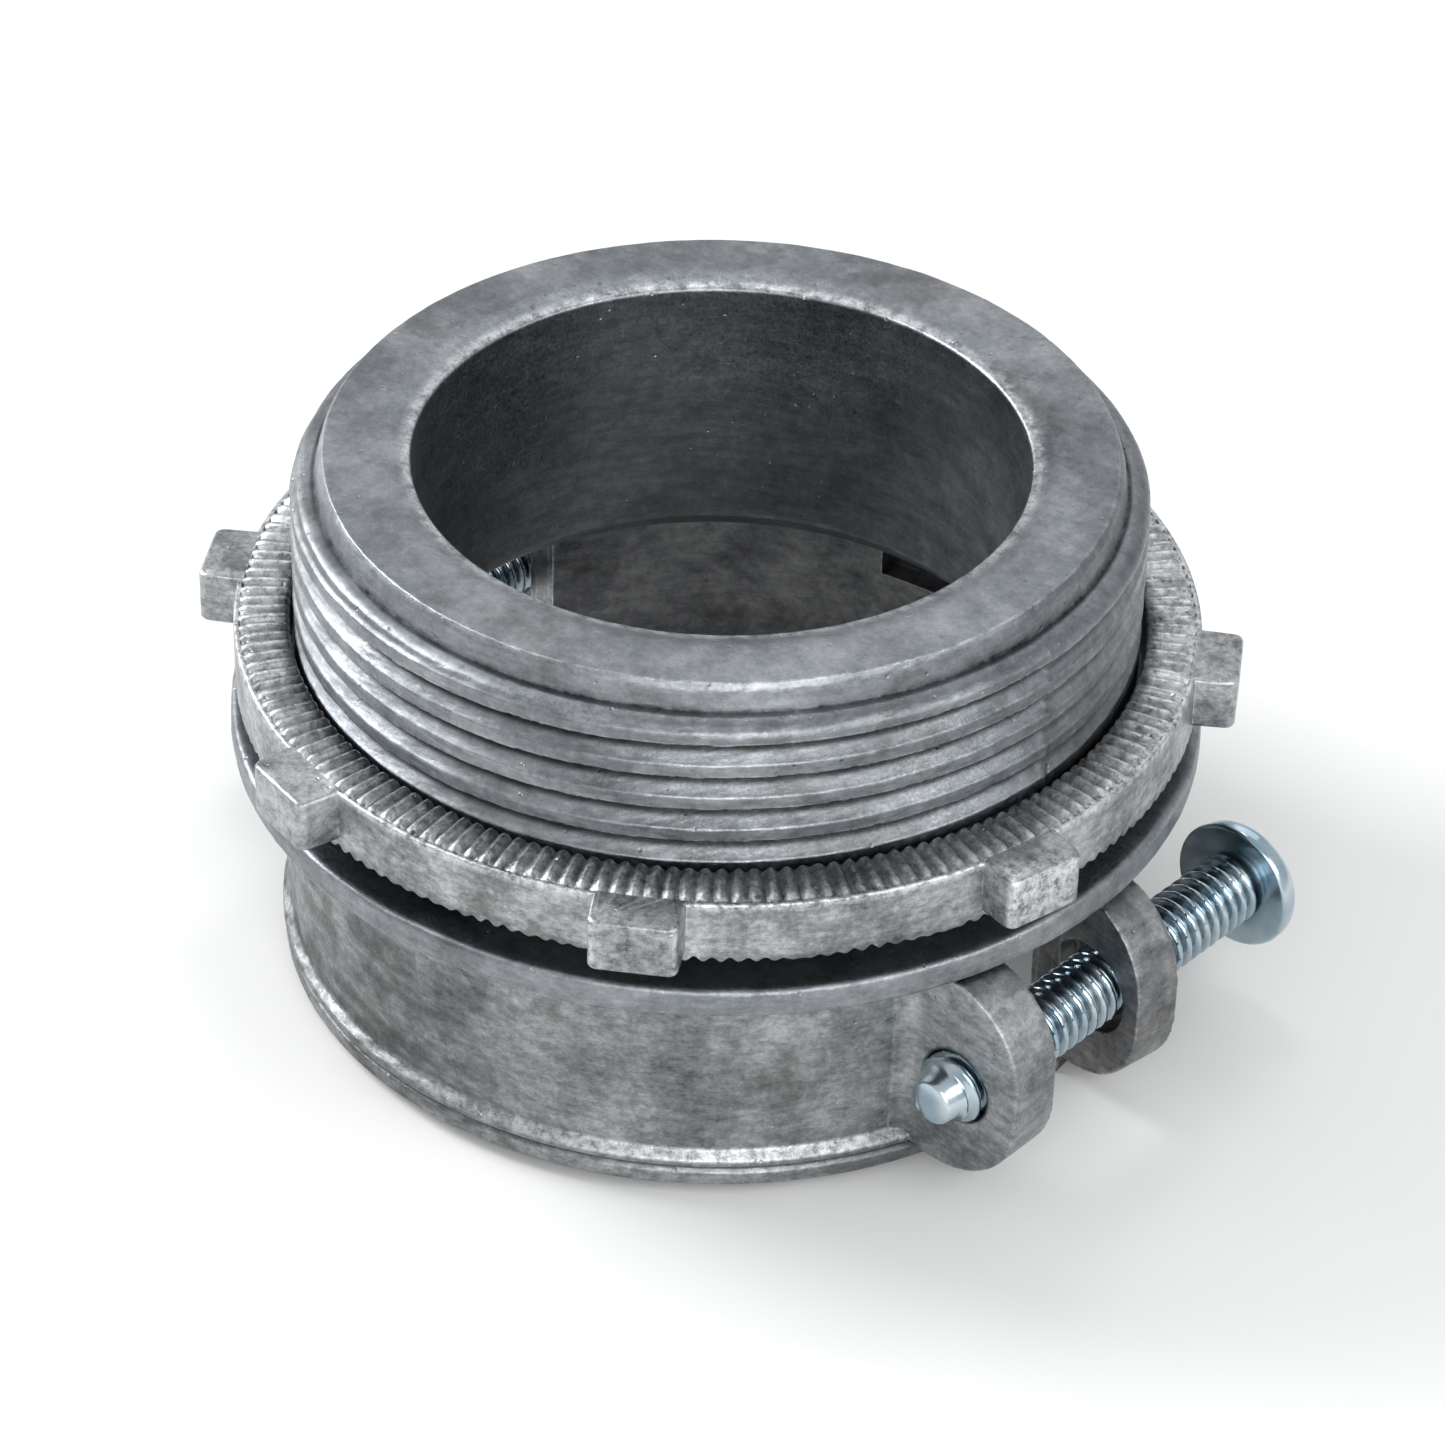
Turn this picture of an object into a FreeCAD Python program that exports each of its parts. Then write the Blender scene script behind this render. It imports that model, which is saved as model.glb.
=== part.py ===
import FreeCAD, Part
import math
import os

from FreeCAD import Vector

# Two-screw clamp connector for a 2-1/2 inch trade size knockout, die-cast zinc.
# Millimetres, +Z along the throat towards the threaded end.
# The origin is on the throat's axis, level with the flange's seating face.
# The clamp screws run along Y, with their heads at +Y.

# Threaded nipple
CREST_R = 36.3
THREAD_DEPTH = 1.25
PITCH = 25.4 / 8
CREST_FLAT = 1.15
TOP_GROOVE_Z = 20.5
GROOVES = 7
NIPPLE_TOP_Z = 24.6
LEAD_R = 34.2
LEAD_Z = 22.3
LIP_R = 33.8
LIP_DROP = 0.5
SEAT_CLEAR = 0.2

# Throat
THROAT_R = 26.05
THROAT_BOTTOM_Z = 0.0
MOUTH_WIDTH = 2.25
MOUTH_DEPTH = 0.6

# Flange
FLANGE_R = 42.0
FLANGE_THICKNESS = 2.5
FLANGE_ROUND = 0.6

# Saddle ring, shared by the body's half and the strap's half
RING_INNER_R = 34.1
RING_OUTER_R = 37.3
RING_BOTTOM_Z = -24.1
LIP_PROUD = 0.8
LIP_HEIGHT = 1.9
BEAD_HEIGHT = 1.5
HALF_GAP = 8.8

# Ears
EAR_THICKNESS = 5.1
EAR_X = 38.05
EAR_TOP_CENTRE_Z = -11.0
EAR_BOTTOM_CENTRE_Z = -14.3
EAR_R = 8.25
EAR_ROOT_X = 33.6
EAR_ROUND = 0.5
EAR_FILLET = 2.2
STRAP_EAR_R = 7.8
STRAP_EAR_THICKNESS = 4.6

# Clamp screws, 1/4-20
SCREW_R = 3.175
SCREW_X = 39.7
SCREW_Z = -13.6
SCREW_LENGTH = 40.1
HEAD_SEAT_Y = 23.2
TIP_R = 2.4
TIP_LENGTH = 1.7
TIP_CHAMFER = 0.5
HEAD_R = 5.85
HEAD_RIM = 1.1
HEAD_HEIGHT = 3.3
SLOT_WIDTH = 1.3
SLOT_DEPTH = 1.7
TAPPED_R = SCREW_R + 0.065
CLEARANCE_R = 4.3
STRAP_HOLE_Z = -12.7

# Strap's loose place between the body and the screw heads
STRAP_YAW = -7.5
STRAP_SHIFT = Vector(-1.35, 0.6, -1.2)
NOTCH_HALF_ANGLE = 22.0
NOTCH_DEPTH = 6.2
NOTCH_WALL = 1.0

# Locknut
NUT_BOTTOM_Z = 2.7
NUT_HEIGHT = 6.2
NUT_BORE_R = 36.6
NUT_OUTER_R = 41.4
NUT_EDGE = 0.5
LUGS = 8
FIRST_LUG_ANGLE = -56.2
LUG_OUTER_R = 44.8
LUG_WIDTH = 7.6
LUG_HEIGHT = 5.2
LUG_CORNER = 1.0

X_AXIS = Vector(1, 0, 0)
Y_AXIS = Vector(0, 1, 0)
Z_AXIS = Vector(0, 0, 1)
ORIGIN = Vector(0, 0, 0)


def turned(outline, angle=360.0):
    """A solid turned about Z from (radius, height) points."""
    wire = Part.makePolygon([Vector(r, 0, z) for r, z in outline + outline[:1]])
    return Part.Face(wire).revolve(ORIGIN, Z_AXIS, angle)


def block(low, high):
    """A box between two corners."""
    return Part.makeBox(*(high - low), low)


def thread_outline():
    """(radius, height) points down the nipple's outside, one ring for each turn."""
    root = CREST_R - THREAD_DEPTH
    flank = (PITCH - CREST_FLAT) / 2
    points = [(LIP_R - LIP_DROP, NIPPLE_TOP_Z), (LIP_R, NIPPLE_TOP_Z - LIP_DROP), (LEAD_R, LEAD_Z)]
    for turn in range(GROOVES):
        z = TOP_GROOVE_Z - turn * PITCH
        points += [(CREST_R, z + flank), (root, z), (CREST_R, z - flank)]
    return [p for p in points if p[1] > SEAT_CLEAR] + [(CREST_R, 0.0)]


def nipple_and_flange():
    """The threaded nipple, the flange and the throat through both."""
    bottom = -FLANGE_THICKNESS
    outline = thread_outline()
    outline += [(FLANGE_R - FLANGE_ROUND, 0.0), (FLANGE_R, -FLANGE_ROUND), (FLANGE_R, bottom)]
    flare = THROAT_BOTTOM_Z - bottom
    outline += [(THROAT_R + flare, bottom), (THROAT_R, THROAT_BOTTOM_Z)]
    outline += [(THROAT_R, NIPPLE_TOP_Z - MOUTH_DEPTH), (THROAT_R + MOUTH_WIDTH, NIPPLE_TOP_Z)]
    return turned(outline)


def saddle_ring(top_z):
    """The full clamp ring with its bead and bottom lip, before it is cut into halves."""
    proud_r = RING_OUTER_R + LIP_PROUD
    lip_top = RING_BOTTOM_Z + LIP_HEIGHT
    bead_mid = lip_top + BEAD_HEIGHT / 2
    outline = [
        (RING_INNER_R, top_z),
        (RING_OUTER_R, top_z),
        (RING_OUTER_R, lip_top + BEAD_HEIGHT),
        (proud_r, bead_mid),
        (proud_r - LIP_PROUD / 4, lip_top),
        (proud_r, RING_BOTTOM_Z + LIP_PROUD),
        (proud_r - LIP_PROUD / 4, RING_BOTTOM_Z),
        (RING_INNER_R, RING_BOTTOM_Z),
    ]
    return turned(outline)


def stadium(x, low_z, high_z, radius, root_x):
    """The ear's flat outline in the XZ plane, square at the root and round outside."""
    high = Vector(x, 0, high_z)
    low = Vector(x, 0, low_z)
    up = Vector(0, 0, radius)
    right = Vector(radius, 0, 0)
    slant = Vector(radius * math.sqrt(0.5), 0, radius * math.sqrt(0.5))
    drop = Vector(slant.x, 0, -slant.z)
    root_high = Vector(root_x, 0, high_z + radius)
    root_low = Vector(root_x, 0, low_z - radius)
    edges = [
        Part.LineSegment(root_high, high + up).toShape(),
        Part.Arc(high + up, high + slant, high + right).toShape(),
        Part.LineSegment(high + right, low + right).toShape(),
        Part.Arc(low + right, low + drop, low - up).toShape(),
        Part.LineSegment(low - up, root_low).toShape(),
        Part.LineSegment(root_low, root_high).toShape(),
    ]
    return Part.Face(Part.Wire(edges))


def ear(radius, thickness, hole_r, hole_z):
    """One right-hand ear behind the plane y = -HALF_GAP, with its screw hole."""
    front_y = -HALF_GAP - thickness
    face = stadium(EAR_X, EAR_BOTTOM_CENTRE_Z, EAR_TOP_CENTRE_Z, radius, EAR_ROOT_X)
    face.translate(Vector(0, front_y, 0))
    solid = face.extrude(Vector(0, thickness, 0))
    outside = [e for e in solid.Edges if e.BoundBox.YMax < front_y + 0.01]
    rims = [e for e in outside if e.BoundBox.XMin > EAR_ROOT_X + 0.01]
    solid = solid.makeFillet(EAR_ROUND, rims)
    hole_start = Vector(SCREW_X, front_y - thickness, hole_z)
    hole = Part.makeCylinder(hole_r, 3 * thickness, hole_start, Y_AXIS)
    return solid.cut(hole)


def ear_fillet(thickness, bottom_z, top_z):
    """The web that runs the ring's wall smoothly into the right-hand ear's outer face."""
    front_y = -HALF_GAP - thickness
    centre_y = front_y - EAR_FILLET
    centre_x = math.sqrt((RING_OUTER_R + EAR_FILLET) ** 2 - centre_y**2)
    centre = Vector(centre_x, centre_y, bottom_z)
    inner = Vector(EAR_ROOT_X - EAR_FILLET, centre_y, bottom_z)
    corner = Vector(EAR_ROOT_X - EAR_FILLET, front_y + EAR_ROUND, bottom_z)
    end = Vector(centre_x, front_y + EAR_ROUND, bottom_z)
    face = Part.Face(Part.makePolygon([inner, corner, end, centre, inner]))
    web = face.extrude(Vector(0, 0, top_z - bottom_z))
    scoop = Part.makeCylinder(EAR_FILLET, top_z - bottom_z, centre, Z_AXIS)
    inside = Part.makeCylinder(RING_OUTER_R - 1.0, top_z - bottom_z, Vector(0, 0, bottom_z), Z_AXIS)
    return web.cut([scoop, inside])


def half_saddle(ring_top_z, ear_r, thickness, hole_r, hole_z):
    """The half ring and its two ears on the -Y side."""
    far = 2 * FLANGE_R
    keep = block(Vector(-far, -far, -far), Vector(far, -HALF_GAP, far))
    right = ear(ear_r, thickness, hole_r, hole_z)
    web = ear_fillet(thickness, EAR_BOTTOM_CENTRE_Z - ear_r + 1.0, EAR_TOP_CENTRE_Z + ear_r - 1.0)
    pieces = [right, web, right.mirror(ORIGIN, X_AXIS), web.mirror(ORIGIN, X_AXIS)]
    return saddle_ring(ring_top_z).common(keep).fuse(pieces).removeSplitter()


def make_connector_body():
    """One casting: nipple, flange, half ring and two tapped ears."""
    saddle = half_saddle(-FLANGE_THICKNESS / 2, EAR_R, EAR_THICKNESS, TAPPED_R, SCREW_Z)
    return nipple_and_flange().fuse(saddle).removeSplitter()


def make_clamp_strap():
    """The loose half ring, with a pocket in the middle of its inner wall, hung on the screws."""
    top_z = -FLANGE_THICKNESS
    strap = half_saddle(top_z, STRAP_EAR_R, STRAP_EAR_THICKNESS, CLEARANCE_R, STRAP_HOLE_Z)
    reach = 2 * RING_OUTER_R
    spread = reach * math.tan(math.radians(NOTCH_HALF_ANGLE))
    corners = [Vector(0, 0, top_z - NOTCH_DEPTH), Vector(spread, -reach, top_z - NOTCH_DEPTH)]
    corners += [Vector(-spread, -reach, top_z - NOTCH_DEPTH), corners[0]]
    notch = Part.Face(Part.makePolygon(corners)).extrude(Vector(0, 0, 2 * NOTCH_DEPTH))
    inside = Part.makeCylinder(RING_OUTER_R - NOTCH_WALL, reach, Vector(0, 0, -reach))
    strap = strap.cut(notch.common(inside))
    strap.rotate(ORIGIN, Z_AXIS, 180.0 + STRAP_YAW)
    strap.translate(STRAP_SHIFT)
    return strap


def make_locknut():
    """The locking ring with its eight driving lugs."""
    top = NUT_BOTTOM_Z + NUT_HEIGHT
    outline = [
        (NUT_BORE_R, NUT_BOTTOM_Z),
        (NUT_OUTER_R - NUT_EDGE, NUT_BOTTOM_Z),
        (NUT_OUTER_R, NUT_BOTTOM_Z + NUT_EDGE),
        (NUT_OUTER_R, top),
        (NUT_BORE_R, top),
    ]
    low = Vector((NUT_BORE_R + NUT_OUTER_R) / 2, -LUG_WIDTH / 2, top - LUG_HEIGHT)
    lug = block(low, Vector(LUG_OUTER_R, LUG_WIDTH / 2, top))
    upright = [e for e in lug.Edges if e.BoundBox.ZLength > 1 and e.BoundBox.XMin > NUT_OUTER_R]
    lug = lug.makeFillet(LUG_CORNER, upright)
    lugs = []
    for place in range(LUGS):
        copy = lug.copy()
        copy.rotate(ORIGIN, Z_AXIS, FIRST_LUG_ANGLE + place * 360.0 / LUGS)
        lugs.append(copy)
    return turned(outline).fuse(lugs).removeSplitter()


def make_clamp_screw(x):
    """One machine screw along Y, head at +Y, with a plain dog point."""
    dome_r = (HEAD_R**2 + (HEAD_HEIGHT - HEAD_RIM) ** 2) / (2 * (HEAD_HEIGHT - HEAD_RIM))
    crown = Vector(0, 0, HEAD_HEIGHT - dome_r)
    tip_z = -SCREW_LENGTH
    shank = turned([
        (0, 0),
        (SCREW_R, 0),
        (SCREW_R, tip_z + TIP_LENGTH + TIP_CHAMFER),
        (TIP_R, tip_z + TIP_LENGTH),
        (TIP_R, tip_z + TIP_CHAMFER),
        (TIP_R - TIP_CHAMFER, tip_z),
        (0, tip_z),
    ])
    barrel = Part.makeCylinder(HEAD_R, HEAD_HEIGHT)
    head = barrel.common(Part.makeSphere(dome_r, crown))
    slot_low = Vector(-HEAD_R, -SLOT_WIDTH / 2, HEAD_HEIGHT - SLOT_DEPTH)
    slot = block(slot_low, Vector(HEAD_R, SLOT_WIDTH / 2, HEAD_HEIGHT + 1))
    screw = head.cut(slot).fuse(shank).removeSplitter()
    screw.rotate(ORIGIN, X_AXIS, -90.0)
    screw.translate(Vector(x, HEAD_SEAT_Y, SCREW_Z))
    return screw


def main():
    os.makedirs("parts", exist_ok=True)
    shapes = {
        "connector_body": make_connector_body(),
        "locknut": make_locknut(),
        "clamp_strap": make_clamp_strap(),
        "clamp_screw_right": make_clamp_screw(SCREW_X),
        "clamp_screw_left": make_clamp_screw(-SCREW_X),
    }
    for name, shape in shapes.items():
        print(name, shape.isValid(), len(shape.Solids), round(shape.Volume))
        shape.exportStep("parts/" + name + ".step")


main()
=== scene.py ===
"""Looks of a two-screw clamp connector: die-cast zinc body, strap and locknut, zinc-plated screws."""

import logging
import math
from dataclasses import dataclass, field
from enum import Enum
from typing import Any, Sequence

import bmesh
import bpy
import numpy as np
from mathutils import Matrix, Vector

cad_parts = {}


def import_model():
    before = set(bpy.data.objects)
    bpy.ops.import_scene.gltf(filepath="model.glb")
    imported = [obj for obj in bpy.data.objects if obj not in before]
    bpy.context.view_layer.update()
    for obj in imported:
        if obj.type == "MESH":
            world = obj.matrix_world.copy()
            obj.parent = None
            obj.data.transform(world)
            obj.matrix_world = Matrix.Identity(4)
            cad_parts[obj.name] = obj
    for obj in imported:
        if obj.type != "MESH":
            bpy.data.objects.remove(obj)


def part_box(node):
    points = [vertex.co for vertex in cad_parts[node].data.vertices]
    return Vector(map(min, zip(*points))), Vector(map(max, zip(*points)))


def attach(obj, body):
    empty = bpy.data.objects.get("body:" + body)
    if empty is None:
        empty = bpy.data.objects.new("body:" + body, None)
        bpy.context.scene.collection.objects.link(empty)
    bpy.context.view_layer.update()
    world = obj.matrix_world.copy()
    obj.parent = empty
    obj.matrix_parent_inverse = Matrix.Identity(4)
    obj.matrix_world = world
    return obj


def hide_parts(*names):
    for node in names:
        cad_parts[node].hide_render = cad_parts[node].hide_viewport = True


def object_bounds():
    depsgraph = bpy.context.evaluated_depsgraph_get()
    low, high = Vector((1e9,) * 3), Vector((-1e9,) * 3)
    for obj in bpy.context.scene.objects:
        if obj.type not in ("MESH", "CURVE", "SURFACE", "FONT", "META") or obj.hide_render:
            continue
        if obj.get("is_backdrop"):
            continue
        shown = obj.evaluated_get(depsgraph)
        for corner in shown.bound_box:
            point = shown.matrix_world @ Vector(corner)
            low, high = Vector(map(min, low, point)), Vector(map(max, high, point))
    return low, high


LOG = logging.getLogger("clamp_connector")
MM = 0.001


class Node(str, Enum):
    """The CAD nodes, each of which is also a body."""

    BODY = "connector_body"
    LOCKNUT = "locknut"
    STRAP = "clamp_strap"
    SCREW_RIGHT = "clamp_screw_right"
    SCREW_LEFT = "clamp_screw_left"


class Operation(str, Enum):
    """What one solid does to another."""

    CUT = "DIFFERENCE"
    JOIN = "UNION"


class Slot(str, Enum):
    """The record's material slots."""

    BODY = "cast_zinc_body"
    LOCKNUT = "cast_zinc_locknut"
    STRAP = "cast_zinc_strap"
    SCREW = "zinc_plated_steel"


# ---------------------------------------------------------------- colours and nodes


def linear(code: str) -> tuple[float, float, float, float]:
    """Turns an sRGB hex colour into linear RGBA.

    Args:
        code: Six hex digits after a hash sign.

    Returns:
        Red, green, blue and an alpha of one.
    """
    parts = [int(code[i : i + 2], 16) / 255 for i in (1, 3, 5)]
    turned = [c / 12.92 if c <= 0.04045 else ((c + 0.055) / 1.055) ** 2.4 for c in parts]
    return (*turned, 1.0)


def add_node(
    tree: bpy.types.NodeTree,
    kind: str,
    inputs: dict[Any, Any] | None = None,
    stops: Sequence[tuple[float, float | str]] = (),
    **settings: Any,
) -> bpy.types.Node:
    """Adds one node with its settings, values and links.

    Args:
        tree: The node tree it goes into.
        kind: Blender's name for the node.
        inputs: Socket name or index to a value, or to the socket that feeds it.
        stops: Positions and grey levels or hex colours, for a colour ramp.
        settings: Attributes set on the node itself.

    Returns:
        The new node.
    """
    made = tree.nodes.new(kind)
    for key, value in settings.items():
        setattr(made, key, value)
    for key, value in (inputs or {}).items():
        if isinstance(value, bpy.types.NodeSocket):
            tree.links.new(value, made.inputs[key])
        else:
            made.inputs[key].default_value = value
    for place, (position, shade) in enumerate(stops):
        elements = made.color_ramp.elements
        element = elements[place] if place < 2 else elements.new(position)
        element.position = position
        element.color = linear(shade) if isinstance(shade, str) else (shade, shade, shade, 1.0)
    return made


# ---------------------------------------------------------------- finishes


@dataclass(frozen=True)
class CastZinc:
    """Zinc alloy straight from a pressure die: a dull grey skin with fine mottling, flow marks and stains.

    The hot metal chills as it runs, so the skin is patchy over millimetres and glossier where it met the die
    first; edges get a painted highlight. Its real grit is under 0.1 mm, too fine to
    show, so grit_mm is drawn three times as coarse. Hollows get painted shade, and the two marks of a mesh
    say where more shade and where highlights are painted into its colour.
    """

    name: str
    dark: str = "#4c4e51"
    mid: str = "#85888b"
    light: str = "#c4c6c8"
    cloud_mm: float = 9.0
    fleck_mm: float = 1.3
    streak_mm: float = 3.4
    streak_ratio: float = 3.2
    grit_mm: float = 0.30
    pit_mm: float = 1.9
    skin_mm: float = 0.016
    wave_mm: float = 0.05
    rough_low: float = 0.27
    rough_high: float = 0.50
    # Painted highlight along edges: the width that the bevel finds, and its colour below.
    highlight_mm: float = 0.28
    edge_highlight: str = "#e2e4e6"
    dark_patch: str = "#47423c"
    # Colour of the shade painted where a mesh's mark asks for it.
    painted_shade_tint: str = "#1d1c1b"
    hollow_shade: float = 0.5

    def build(self) -> bpy.types.Material:
        """Makes the material.

        Returns:
            The finish, ready to assign.
        """
        material = bpy.data.materials.new(self.name)
        material.use_nodes = True
        tree = material.node_tree
        shader = tree.nodes["Principled BSDF"]
        place = add_node(tree, "ShaderNodeTexCoord").outputs["Object"]
        fleck = self._noise(tree, place, self.fleck_mm, 8.0, 0.80)
        grit = self._noise(tree, place, self.grit_mm, 3.0, 0.6)
        tone = self._tone(tree, place, fleck)
        ramp = {"Fac": tone}
        shades = ((0.37, self.dark), (0.63, self.light), (0.49, self.mid))
        colour = add_node(tree, "ShaderNodeValToRGB", ramp, stops=shades).outputs["Color"]
        colour = self._stained(tree, place, colour)
        # Painted highlight along edges, and where a mesh's mark asks for it.
        colour = self._painted_edge_highlight(tree, colour, fleck)
        # Painted shade in hollows, and where a mesh's mark asks for it.
        colour = self._painted_hollow_shade(tree, colour)
        tree.links.new(colour, shader.inputs["Base Color"])
        gloss = {"Value": grit, "From Min": 0.3, "From Max": 0.7}
        gloss |= {"To Min": self.rough_low, "To Max": self.rough_high}
        rough = add_node(tree, "ShaderNodeMapRange", gloss)
        tree.links.new(rough.outputs["Result"], shader.inputs["Roughness"])
        shader.inputs["Metallic"].default_value = 1.0
        self._bumps(tree, place, grit, fleck, shader)
        return material

    def _noise(
        self, tree: bpy.types.NodeTree, place: bpy.types.NodeSocket, size_mm: float, detail: float, rough: float
    ) -> bpy.types.NodeSocket:
        """Adds a cloud of one size and gives its value.

        Args:
            tree: The material's nodes.
            place: The coordinates, in metres.
            size_mm: The width of one cloud.
            detail: How many finer layers it carries.
            rough: How strong they are.

        Returns:
            The noise value, about 0.5 on average.
        """
        settings = {"Vector": place, "Scale": 1 / (size_mm * MM), "Detail": detail, "Roughness": rough}
        return add_node(tree, "ShaderNodeTexNoise", settings).outputs["Fac"]

    def _tone(
        self, tree: bpy.types.NodeTree, place: bpy.types.NodeSocket, fleck: bpy.types.NodeSocket
    ) -> bpy.types.NodeSocket:
        """Mixes flecks, level flow marks and broad clouds into one value.

        Args:
            tree: The material's nodes.
            place: The coordinates, in metres.
            fleck: The fine mottling.

        Returns:
            The tone, about 0.5 on average.
        """
        flat = {"Vector": place, "Rotation": (0.10, 0.06, 0.0), "Scale": (1.0, 1.0, self.streak_ratio)}
        level = add_node(tree, "ShaderNodeMapping", flat).outputs["Vector"]
        streak = self._noise(tree, level, self.streak_mm, 9.0, 0.78)
        cloud = self._noise(tree, place, self.cloud_mm, 3.0, 0.55)
        fine = {"Factor": 0.5, "A": fleck, "B": streak}
        mottle = add_node(tree, "ShaderNodeMix", fine, data_type="FLOAT").outputs["Result"]
        broad = {"Factor": 0.30, "A": mottle, "B": cloud}
        return add_node(tree, "ShaderNodeMix", broad, data_type="FLOAT").outputs["Result"]

    def _stained(
        self, tree: bpy.types.NodeTree, place: bpy.types.NodeSocket, colour: bpy.types.NodeSocket
    ) -> bpy.types.NodeSocket:
        """Adds scattered darker, slightly brown blots.

        Args:
            tree: The material's nodes.
            place: The coordinates, in metres.
            colour: The colour so far.

        Returns:
            The stained colour.
        """
        blot = self._noise(tree, place, 1.4 * self.cloud_mm, 8.0, 0.72)
        reach = {"Value": blot, "From Min": 0.53, "From Max": 0.66, "To Max": 0.5}
        where = add_node(tree, "ShaderNodeMapRange", reach).outputs["Result"]
        blend = {"Factor": where, "A": colour, "B": linear(self.dark_patch)}
        return add_node(tree, "ShaderNodeMix", blend, data_type="RGBA").outputs["Result"]

    def _painted_hollow_shade(self, tree: bpy.types.NodeTree, colour: bpy.types.NodeSocket) -> bpy.types.NodeSocket:
        """Paints shade into hollows and grooves, and more where the mesh's mark asks for painted shade.

        Args:
            tree: The material's nodes.
            colour: The colour so far.

        Returns:
            The colour with its painted shade.
        """
        # Painted shade: ambient occlusion darkens the colour in hollows.
        hollow = add_node(tree, "ShaderNodeAmbientOcclusion", {"Distance": 1.4 * MM}, samples=6).outputs["AO"]
        reach = {"Value": hollow, "From Min": 0.25, "From Max": 0.85, "To Min": self.hollow_shade}
        shade = add_node(tree, "ShaderNodeMapRange", reach).outputs["Result"]
        blend = {"Factor": 1.0, "A": colour, "B": shade}
        dim = add_node(tree, "ShaderNodeMix", blend, data_type="RGBA", blend_type="MULTIPLY").outputs["Result"]
        # A mesh's own mark of painted shade, mixed towards a near-black.
        painted_shade = add_node(tree, "ShaderNodeAttribute", attribute_name="painted_shade").outputs["Fac"]
        shade_mix = {"Factor": painted_shade, "A": dim, "B": linear(self.painted_shade_tint)}
        return add_node(tree, "ShaderNodeMix", shade_mix, data_type="RGBA").outputs["Result"]

    def _painted_edge_highlight(
        self, tree: bpy.types.NodeTree, colour: bpy.types.NodeSocket, fleck: bpy.types.NodeSocket
    ) -> bpy.types.NodeSocket:
        """Paints a highlight along edges, in broken lines.

        Args:
            tree: The material's nodes.
            colour: The colour so far.
            fleck: The mottling that breaks the lines up.

        Returns:
            The colour with its painted edge highlights.
        """
        rounded = add_node(tree, "ShaderNodeBevel", {"Radius": self.highlight_mm * MM}, samples=4).outputs["Normal"]
        straight = add_node(tree, "ShaderNodeNewGeometry").outputs["Normal"]
        pair = {0: rounded, 1: straight}
        same = add_node(tree, "ShaderNodeVectorMath", pair, operation="DOT_PRODUCT").outputs["Value"]
        bend = {"Value": same, "From Min": 0.995, "From Max": 0.90, "To Min": 0.0, "To Max": 1.0}
        edge = add_node(tree, "ShaderNodeMapRange", bend).outputs["Result"]
        # A mesh's own mark of painted highlight.
        painted_highlight = add_node(tree, "ShaderNodeAttribute", attribute_name="painted_highlight").outputs["Fac"]
        both = add_node(tree, "ShaderNodeMath", {0: edge, 1: painted_highlight}, operation="MAXIMUM").outputs["Value"]
        gaps = {"Value": fleck, "From Min": 0.40, "From Max": 0.58}
        broken = add_node(tree, "ShaderNodeMapRange", gaps).outputs["Result"]
        where = add_node(tree, "ShaderNodeMath", {0: both, 1: broken}, operation="MULTIPLY").outputs["Value"]
        blend = {"Factor": where, "A": colour, "B": linear(self.edge_highlight)}
        return add_node(tree, "ShaderNodeMix", blend, data_type="RGBA").outputs["Result"]

    def _bumps(
        self,
        tree: bpy.types.NodeTree,
        place: bpy.types.NodeSocket,
        grit: bpy.types.NodeSocket,
        fleck: bpy.types.NodeSocket,
        shader: bpy.types.Node,
    ) -> None:
        """Adds the skin's grit, its soft unevenness and scattered pits.

        Args:
            tree: The material's nodes.
            place: The coordinates, in metres.
            grit: The finest texture.
            fleck: The mottling, reused as soft waves.
            shader: The shader that gets the normal.
        """
        fine = {"Height": grit, "Distance": self.skin_mm * MM, "Strength": 1.0}
        skin = add_node(tree, "ShaderNodeBump", fine).outputs["Normal"]
        soft = {"Height": fleck, "Distance": self.wave_mm * MM, "Strength": 1.0, "Normal": skin}
        waves = add_node(tree, "ShaderNodeBump", soft).outputs["Normal"]
        spots = {"Vector": place, "Scale": 1 / (self.pit_mm * MM)}
        cells = add_node(tree, "ShaderNodeTexVoronoi", spots).outputs["Distance"]
        holes = {"Value": cells, "From Min": 0.04, "From Max": 0.11}
        pit = add_node(tree, "ShaderNodeMapRange", holes).outputs["Result"]
        deep = {"Height": pit, "Distance": 2 * self.wave_mm * MM, "Strength": 0.6, "Normal": waves}
        dents = add_node(tree, "ShaderNodeBump", deep).outputs["Normal"]
        tree.links.new(dents, shader.inputs["Normal"])


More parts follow.
